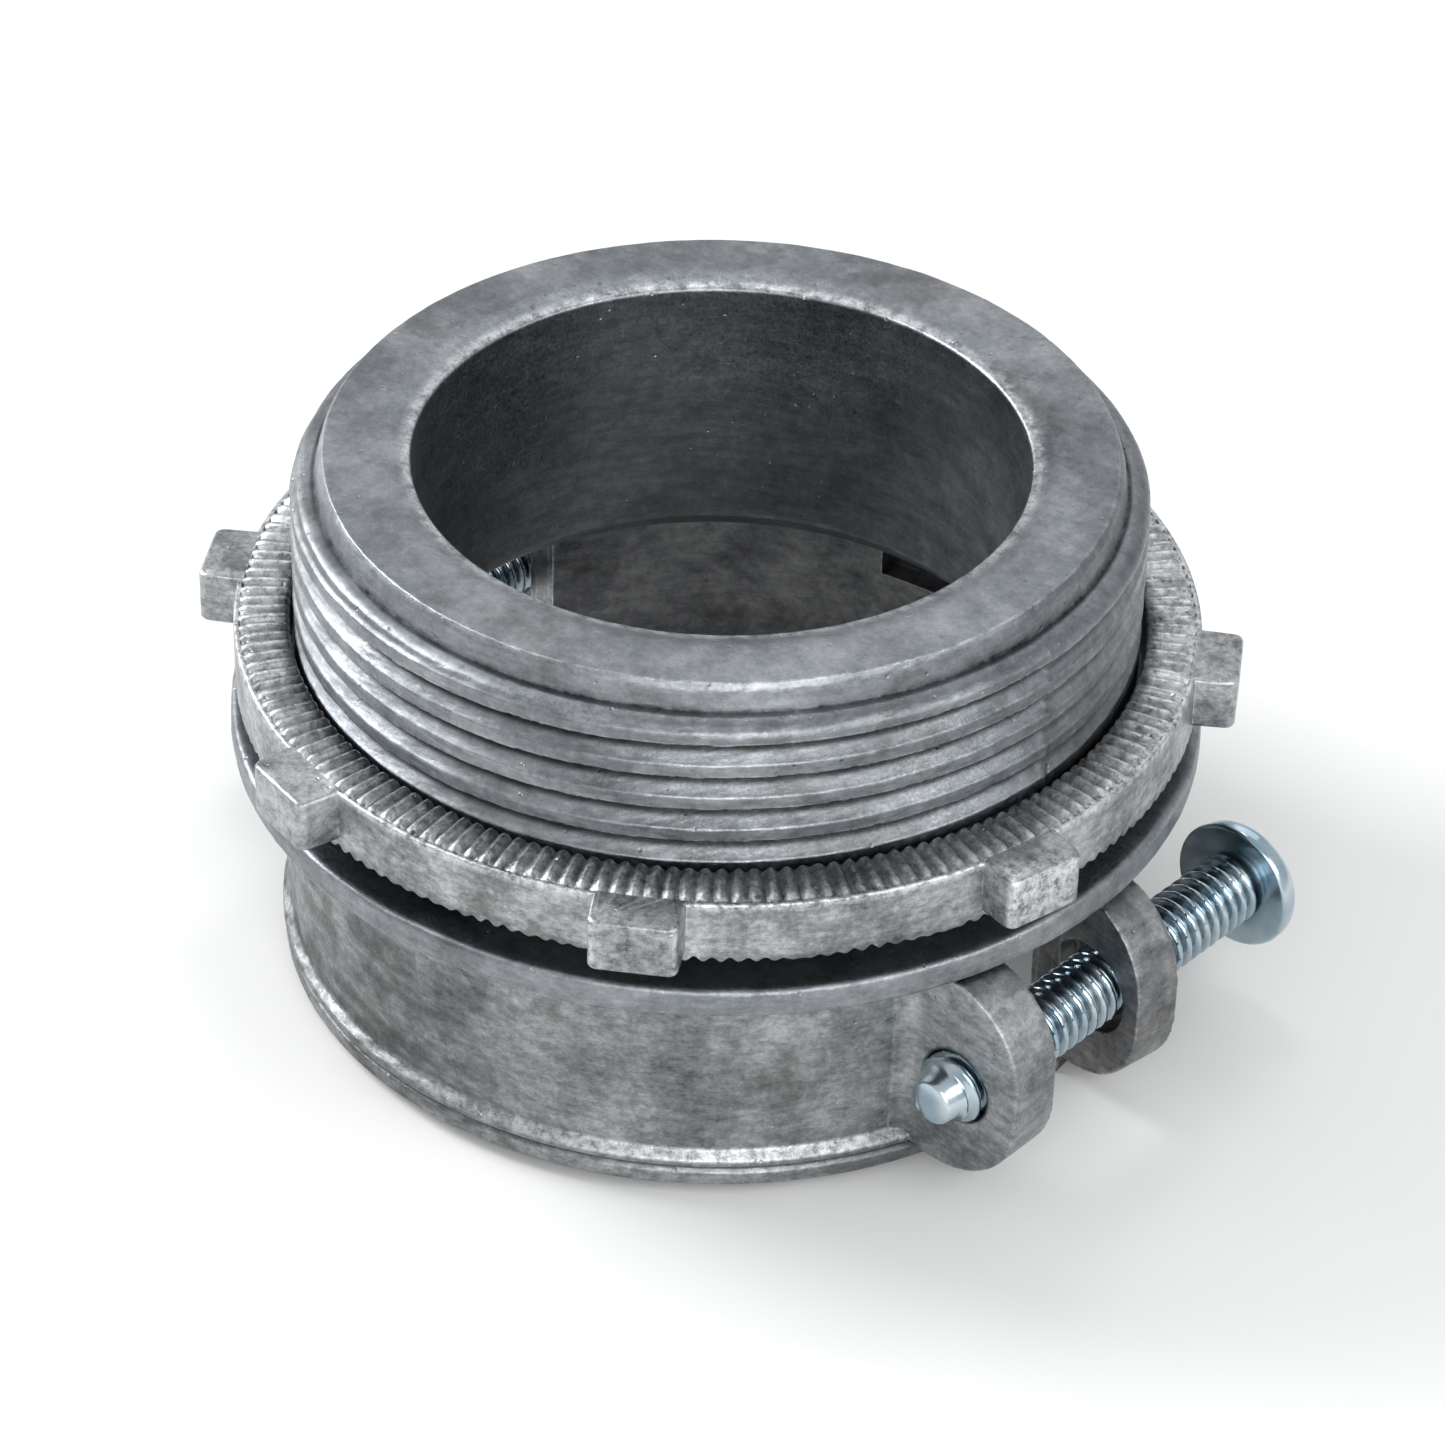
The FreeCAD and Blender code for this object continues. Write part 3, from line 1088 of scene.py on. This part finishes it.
@dataclass
class ConnectorBody:
    """The body casting: the nipple with its flange, and the front half of the clamp ring below it."""

    nipple: Nipple = field(default_factory=Nipple)
    saddle: Saddle = field(
        default_factory=lambda: Saddle("body_saddle", ring_top=-1.2, ear_r=8.25, hole_r=3.24)
    )
    # The nipple: metal that met the polished part of the die, darker and even, with long level flow marks.
    smooth: CastZinc = field(
        default_factory=lambda: CastZinc(
            "DieCastZincSmooth",
            dark="#595c5f",
            mid="#7c8084",
            light="#a4a7aa",
            cloud_mm=14.0,
            fleck_mm=1.4,
            streak_mm=5.0,
            streak_ratio=6.0,
        )
    )
    # The clamp ring: the coldest metal, with small pale and dark flecks side by side.
    mottled: CastZinc = field(
        default_factory=lambda: CastZinc(
            "DieCastZincMottled", mid="#828587", light="#bcbebf", fleck_mm=0.9, streak_mm=2.4
        )
    )

    def build(self) -> list[bpy.types.Object]:
        """Makes and dresses the body's two pieces.

        Returns:
            The nipple and the saddle.
        """
        nipple = self.nipple.build()
        dress(nipple, self.smooth.build(), Node.BODY)
        saddle = self.saddle.build()
        dress(saddle, self.mottled.build(), Node.BODY)
        return [nipple, saddle]


# ---------------------------------------------------------------- strap


@dataclass
class ClampStrap:
    """The loose half of the clamp ring, which hangs a little askew on the two screws."""

    saddle: Saddle = field(
        default_factory=lambda: Saddle(
            "strap_saddle",
            ring_top=-2.5,
            ear_r=7.8,
            hole_r=4.3,
            pocket_half_angle=math.radians(22.0),
            pocket_depth=6.2,
            ear_thickness=4.6,
            hole_z=-12.7,
        )
    )
    yaw: float = math.radians(-7.5)
    across: float = -1.35
    along: float = 0.6
    # The strap: cast apart from the body, a little duller and warmer, with larger flow marks.
    finish: CastZinc = field(
        default_factory=lambda: CastZinc("DieCastZincStrap", mid="#828385", light="#b4b4b4")
    )

    def build(self) -> bpy.types.Object:
        """Makes and dresses the strap.

        Returns:
            The strap where it hangs.
        """
        strap = self.saddle.build()
        drop = box_mm(Node.STRAP)[0].z - self.saddle.bottom_z
        shift = Vector((self.across, self.along, drop)) * MM
        strap.data.transform(Matrix.Translation(shift) @ Matrix.Rotation(math.pi + self.yaw, 4, "Z"))
        dress(strap, self.finish.build(), Node.STRAP)
        return strap


# ---------------------------------------------------------------- locknut


@dataclass
class Locknut:
    """The die-cast locking ring: radial serrations above and below, and eight driving lugs."""

    bottom_z: float = 2.7
    height: float = 6.2
    bore_r: float = 36.6
    outer_r: float = 41.4
    rim: float = 0.55
    teeth: int = 180
    tooth_depth: float = 0.45
    low_tooth: float = 0.32
    rim_drop: float = 0.35
    lugs: int = 8
    first_angle: float = math.radians(-56.2)
    lug_r: float = 44.8
    lug_width: float = 7.6
    lug_height: float = 5.2
    lug_corner: float = 0.8
    lug_rim: float = 0.28
    lug_draft: float = 0.97
    per_tooth: int = 8
    # The locknut: tumbled after casting, so it is the palest, with fine flecks and painted highlights on its
    # tooth ridges.
    finish: CastZinc = field(
        default_factory=lambda: CastZinc(
            "DieCastZincLocknut",
            mid="#8f9295",
            light="#d0d2d4",
            cloud_mm=5.0,
            fleck_mm=0.8,
            streak_mm=2.0,
            hollow_shade=1.0,
        )
    )

    def build(self) -> bpy.types.Object:
        """Makes and dresses the locknut, at the height that the CAD gives it.

        Returns:
            The locknut.
        """
        low, high = box_mm(Node.LOCKNUT)
        self.bottom_z, self.height = low.z, high.z - low.z
        ring = self._ring()
        for place in range(self.lugs):
            lug = self._lug(self.first_angle + place * 2 * math.pi / self.lugs)
            ring = boolean(ring, lug, Operation.JOIN)
        ring.name = "locknut_ring"
        self._edge_marks(ring)
        dress(ring, self.finish.build(), Node.LOCKNUT)
        return ring

    def _ring(self) -> bpy.types.Object:
        """Makes the serrated ring as one closed grid.

        Returns:
            The ring without its lugs.
        """
        columns = self.teeth * self.per_tooth
        angle = np.linspace(0, 2 * math.pi, columns, endpoint=False)[None, :]
        tooth = 0.5 - 0.5 * np.cos(angle * self.teeth)
        rows = self._upper_rows(angle, tooth) + self._lower_rows(angle, tooth)
        radius = np.vstack([r + 0 * angle for r, _ in rows])
        height = np.vstack([z + 0 * angle for _, z in rows])
        on_top = height > self.bottom_z + self.height - self.rim_drop - 0.8
        rough = wave_noise(radius * angle / 0.5, radius / 0.4, 12)
        height = height - np.where(on_top, 0.03 * np.abs(rough), 0.0)
        points = turned_points(radius, height, angle + 0 * radius)
        marks = self._tooth_marks(radius, angle, tooth, on_top)
        made = mesh_object("ring", points, grid_faces(len(rows), columns, True, True), marks)
        face_outwards(made)
        return made

    def _upper_rows(self, angle: np.ndarray, tooth: np.ndarray) -> list[tuple[float, np.ndarray | float]]:
        """Lays out the rows from the bore over the upper teeth and the rim, and down the wall.

        Args:
            angle: Each column's angle.
            tooth: 1 on a tooth's ridge and 0 in the valley.

        Returns:
            The radius and height of each row, in order.
        """
        inner, outer, edge = self.bore_r, self.outer_r, self.outer_r - self.rim
        tip = self.bottom_z + self.height
        rim_z = tip - self.rim_drop
        jitter = wave_noise(angle * inner / 1.6, 0 * angle, 8)
        valley = self.tooth_depth * (1 + 0.18 * jitter) * (1 - tooth**0.7)
        wall_top, wall_foot = rim_z - 0.3, self.bottom_z + 0.9
        wall = [(outer, wall_top + share * (wall_foot - wall_top)) for share in np.linspace(0.12, 0.9, 8)]
        return [
            (inner, tip - 0.9),
            (inner + 0.12, tip - 0.35 - valley),
            (inner + 0.4, tip - 0.05 - valley),
            (inner + 1.5, tip - valley),
            (edge - 1.2, tip - 0.02 - valley),
            (edge - 0.35, tip - 0.06 - valley),
            (edge, np.minimum(tip - 0.2 - valley, rim_z + 0.05)),
            (edge + 0.12, rim_z),
            (outer - 0.22, rim_z),
            (outer - 0.06, rim_z - 0.08),
            (outer, wall_top),
        ] + wall

    def _lower_rows(self, angle: np.ndarray, tooth: np.ndarray) -> list[tuple[float, np.ndarray | float]]:
        """Lays out the rows round the lower teeth and up the bore.

        Args:
            angle: Each column's angle.
            tooth: 1 on a tooth's ridge and 0 in the valley.

        Returns:
            The radius and height of each row, in order.
        """
        inner, outer, foot = self.bore_r, self.outer_r, self.bottom_z
        uneven = 1 + 0.45 * wave_noise(angle * outer / 2.5, 0 * angle, 9)
        valley = foot + self.low_tooth * (1 - tooth) * np.clip(uneven, 0.2, 1.6)
        return [
            (outer, valley + 0.14),
            (outer - 0.12, valley),
            (outer - 1.2, valley),
            (inner + 0.8, valley),
            (inner, valley + 0.3),
            (inner, foot + 1.6),
            (inner, foot + 3.2),
        ]

    def _tooth_marks(
        self, radius: np.ndarray, angle: np.ndarray, tooth: np.ndarray, on_top: np.ndarray
    ) -> dict[str, np.ndarray]:
        """Says where a highlight is painted on the upper teeth and where shade is painted in their valleys.

        Args:
            radius: Each point's distance from the axis.
            angle: Each column's angle.
            tooth: 1 on a tooth's ridge and 0 in the valley.
            on_top: Which points belong to the upper side.

        Returns:
            The marks for the mesh.
        """
        edge = self.outer_r - self.rim
        on_teeth = on_top & (radius < edge)
        # Painted highlights in specks on the tooth ridges and along the rim's edge; painted shade in the
        # valleys.
        specks = 0.5 + 0.5 * wave_noise(radius * angle / 0.35, radius / 0.5, 14)
        highlighted = np.where(on_teeth, np.clip(0.25 + 1.5 * tooth**2 * specks, 0, 1), 0.0)
        highlighted = np.where(on_top & (radius > edge - 0.05), 0.6, highlighted)
        return {"painted_shade": np.where(on_teeth, 0.2 * (1 - tooth**0.7), 0.0), "painted_highlight": highlighted}

    def _lug(self, angle: float) -> bpy.types.Object:
        """Makes one driving lug with rounded upright corners and softened rims.

        Args:
            angle: Where it stands about the axis.

        Returns:
            The lug.
        """
        top = self.bottom_z + self.height - self.rim_drop
        low = self.bottom_z + self.height - self.lug_height
        soft = self.lug_rim
        below = [(low, soft), (low + 0.3 * soft, 0.3 * soft), (low + soft, 0.0)]
        above = [(top - soft, 0.0), (top - 0.3 * soft, 0.3 * soft), (top, soft)]
        lug = stacked_object("lug", [self._lug_loop(z, inset) for z, inset in below + above])
        lug.data.transform(Matrix.Rotation(angle, 4, "Z"))
        return lug

    def _lug_loop(self, z: float, inset: float) -> np.ndarray:
        """Lays out one level of a lug along +X, narrower outwards as the die's draft makes it.

        Args:
            z: Its height.
            inset: How far its three free sides are drawn in.

        Returns:
            The outline's points.
        """
        root, tip = self.outer_r - 0.6, self.lug_r - inset
        half, corner = self.lug_width / 2 - inset, self.lug_corner
        turn = np.linspace(0, math.pi / 2, 7)
        x = np.concatenate([[root], tip - corner + corner * np.sin(turn)])
        y = np.concatenate([[-half], -(self.lug_draft * half - corner) - corner * np.cos(turn)])
        x, y = np.concatenate([x, x[::-1]]), np.concatenate([y, -y[::-1]])
        return np.column_stack([x, y, np.full(len(x), z)])

    def _edge_marks(self, ring: bpy.types.Object) -> None:
        """Shades the ring smooth except over sharp corners."""
        ring.data.polygons.foreach_set("use_smooth", [True] * len(ring.data.polygons))
        ring.data.set_sharp_from_angle(angle=math.radians(50))


# ---------------------------------------------------------------- screws


@dataclass
class ClampScrew:
    """One machine screw along Y: rolled thread, pan head with a slot and cross, plain dog point."""

    name: str
    node: Node
    crest_r: float = 3.175
    root_r: float = 2.45
    pitch: float = 1.27
    tip_r: float = 2.38
    tip_length: float = 1.7
    head_r: float = 5.85
    head_height: float = 3.3
    rim: float = 0.9
    slot_width: float = 1.3
    slot_depth: float = 1.7
    cross_reach: float = 2.6
    cross_depth: float = 2.0
    columns: int = 72

    def build(self, material: bpy.types.Material) -> bpy.types.Object:
        """Makes and dresses the screw.

        Args:
            material: The plating, shared by both screws.

        Returns:
            The screw.
        """
        low, high = box_mm(self.node)
        seat = Vector(((low.x + high.x) / 2, high.y - self.head_height, (low.z + high.z) / 2))
        screw = joined(self.name, [self._head(), self._shank(seat.y - low.y)])
        screw.data.transform(Matrix.Translation(seat * MM) @ Matrix.Rotation(-math.pi / 2, 4, "X"))
        screw.data.polygons.foreach_set("use_smooth", [True] * len(screw.data.polygons))
        screw.data.set_sharp_from_angle(angle=math.radians(55))
        dress(screw, material, self.node)
        return screw

    def _shank(self, length: float) -> bpy.types.Object:
        """Makes the threaded shank and its point, from just inside the head down to the tip.

        Args:
            length: From the head's seat to the tip.

        Returns:
            The shank, along Z.
        """
        end = -(length - self.tip_length)
        rows = np.arange(0.4, end, -self.pitch / 12)
        angle = np.linspace(0, 2 * math.pi, self.columns, endpoint=False)[None, :]
        along = rows[:, None] + 0 * angle
        turn = ((along / self.pitch) - angle / (2 * math.pi)) % 1.0
        height = 1 - np.abs(2 * turn - 1)
        shape = np.clip((height - 0.16) / 0.62, 0, 1)
        fade = smooth_step(end, end + 0.7, along)
        crest = self.tip_r + 0.15 + (self.crest_r - self.tip_r - 0.15) * fade
        radius = np.minimum(self.root_r + (self.crest_r - self.root_r) * shape, crest)
        tip = [
            (self.tip_r, end - 0.15),
            (self.tip_r - 0.10, end - self.tip_length * 0.4),
            (self.tip_r - 0.32, end - self.tip_length + 0.35),
            (self.tip_r - 0.42, end - self.tip_length + 0.10),
            (self.tip_r - 0.56, end - self.tip_length),
            (self.tip_r * 0.4, end - self.tip_length),
        ]
        radius = np.vstack([radius] + [r + 0 * angle for r, _ in tip])
        along = np.vstack([along] + [z + 0 * angle for _, z in tip])
        points = turned_points(radius, along, angle + 0 * radius)
        return stacked_object("shank", points.reshape(len(radius), self.columns, 3))

    def _head(self) -> bpy.types.Object:
        """Makes the pan head: flat under, rounded rim, low dome, slot and cross.

        Returns:
            The head, along Z.
        """
        dome = self.head_height - self.rim
        arc = np.linspace(0.0, math.pi / 2, 20)
        crown = [(self.head_r * math.cos(t) ** 0.75, self.rim + dome * math.sin(t)) for t in arc[:-1]]
        outline = [(self.head_r - 0.35, 0.0), (self.head_r - 0.1, 0.08), (self.head_r, 0.3)] + crown
        angle = np.linspace(0, 2 * math.pi, 96, endpoint=False)
        levels = [np.column_stack([r * np.cos(angle), r * np.sin(angle), 0 * angle + z]) for r, z in outline]
        head = stacked_object("head", levels)
        slot = self._slot_tool(0.0, self.head_r * 1.2, self.slot_depth)
        cross = self._slot_tool(math.pi / 2, self.cross_reach, self.cross_depth)
        return boolean(boolean(head, slot, Operation.CUT), cross, Operation.CUT)

    def _slot_tool(self, spin: float, reach: float, depth: float) -> bpy.types.Object:
        """Makes a blade that cuts one slot across the head.

        Args:
            spin: Its angle about the screw's axis.
            reach: Half its length.
            depth: How deep it cuts below the crown.

        Returns:
            The blade.
        """
        half = self.slot_width / 2
        low, high = self.head_height - depth, self.head_height + 1.0
        outline = np.array([(-half * 0.85, low), (half * 0.85, low), (half, high), (-half, high)])
        blade = prism_object("blade", outline, -reach, reach)
        blade.data.transform(Matrix.Rotation(spin, 4, "Z"))
        return blade


@dataclass
class ScrewPair:
    """The two clamp screws."""

    finish: PlatedSteel = field(default_factory=lambda: PlatedSteel("BlueZincPlatedSteel"))

    def build(self) -> list[bpy.types.Object]:
        """Makes and dresses both screws.

        Returns:
            The right and the left screw.
        """
        material = self.finish.build()
        right = ClampScrew("machine_screw_right", Node.SCREW_RIGHT).build(material)
        left = ClampScrew("machine_screw_left", Node.SCREW_LEFT).build(material)
        return [right, left]


# ---------------------------------------------------------------- studio


@dataclass(frozen=True)
class Lamp:
    """A square soft light aimed at the object, in millimetres and watts."""

    name: str
    spot: tuple[float, float, float]
    width: float
    watts: float

    def build(self) -> None:
        """Makes the light."""
        data = bpy.data.lights.new(self.name, "AREA")
        data.shape, data.size, data.energy = "SQUARE", self.width * MM, self.watts
        lamp = bpy.data.objects.new(self.name, data)
        bpy.context.scene.collection.objects.link(lamp)
        lamp.location = Vector(self.spot) * MM
        lamp.rotation_euler = (-lamp.location).to_track_quat("-Z", "Y").to_euler()


@dataclass
class Studio:
    """A pale table, soft lights and the camera."""

    azimuth: float = 41.707
    elevation: float = 36.532
    distance: float = 455.5
    roll: float = 1.395
    target: tuple[float, float, float] = (0.444, 0.396, -4.06)
    lens: float = 130.37
    floor_width: float = 4000.0
    surround: str = "#f4f6f8"
    surround_strength: float = 0.74
    lamps: tuple[Lamp, ...] = (
        Lamp("key_left", (-479, -168, 330), 260, 3.6),
        Lamp("back", (-150, 380, 380), 340, 0.25),
        Lamp("front", (330, -306, 230), 300, 1.3),
        Lamp("fill_right", (420, 60, 300), 220, 0.7),
        Lamp("mouth_rim", (-135, 152, 457), 90, 0.22),
    )

    def build(self, lowest: float) -> None:
        """Makes the studio.

        Args:
            lowest: The height of the object's lowest point, in metres.
        """
        self._floor(lowest)
        self._camera()
        self._world()
        for lamp in self.lamps:
            lamp.build()

    def _floor(self, lowest: float) -> None:
        """Makes a wide table under the object.

        Args:
            lowest: The table's height, in metres.
        """
        half = self.floor_width / 2
        corners = np.array([(-half, -half, 0), (half, -half, 0), (half, half, 0), (-half, half, 0)], float)
        floor = mesh_object("studio_floor", corners, [[0, 1, 2, 3]])
        floor.location.z = lowest
        floor.data.materials.append(MattePaint("MatteWhitePaint").build())
        floor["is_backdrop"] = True

    def _camera(self) -> None:
        """Makes the camera, aimed and rolled."""
        data = bpy.data.cameras.new("camera")
        data.lens, data.sensor_width = self.lens, 36.0
        data.clip_start, data.clip_end = 0.01, 20.0
        data.dof.use_dof = False
        camera = bpy.data.objects.new("camera", data)
        bpy.context.scene.collection.objects.link(camera)
        a, e = math.radians(self.azimuth), math.radians(self.elevation)
        back = Vector((math.sin(a) * math.cos(e), -math.cos(a) * math.cos(e), math.sin(e)))
        aim = (-back).to_track_quat("-Z", "Y").to_matrix().to_4x4()
        spot = (Vector(self.target) + back * self.distance) * MM
        camera.matrix_world = Matrix.Translation(spot) @ aim @ Matrix.Rotation(math.radians(self.roll), 4, "Z")
        bpy.context.scene.camera = camera

    def _world(self) -> None:
        """Makes a plain pale surround."""
        world = bpy.data.worlds.new("studio")
        world.use_nodes = True
        shade = world.node_tree.nodes["Background"]
        shade.inputs["Color"].default_value = linear(self.surround)
        shade.inputs["Strength"].default_value = self.surround_strength
        bpy.context.scene.world = world
        bpy.context.scene.view_settings.view_transform = "Standard"


def main() -> None:
    """Builds every piece in order and reports it."""
    logging.basicConfig(level=logging.INFO, format="%(name)s: %(message)s")
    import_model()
    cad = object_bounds()
    ConnectorBody().build()
    ClampStrap().build()
    Locknut().build()
    ScrewPair().build()
    Studio().build(cad[0].z)


if __name__ == "__main__":
    main()
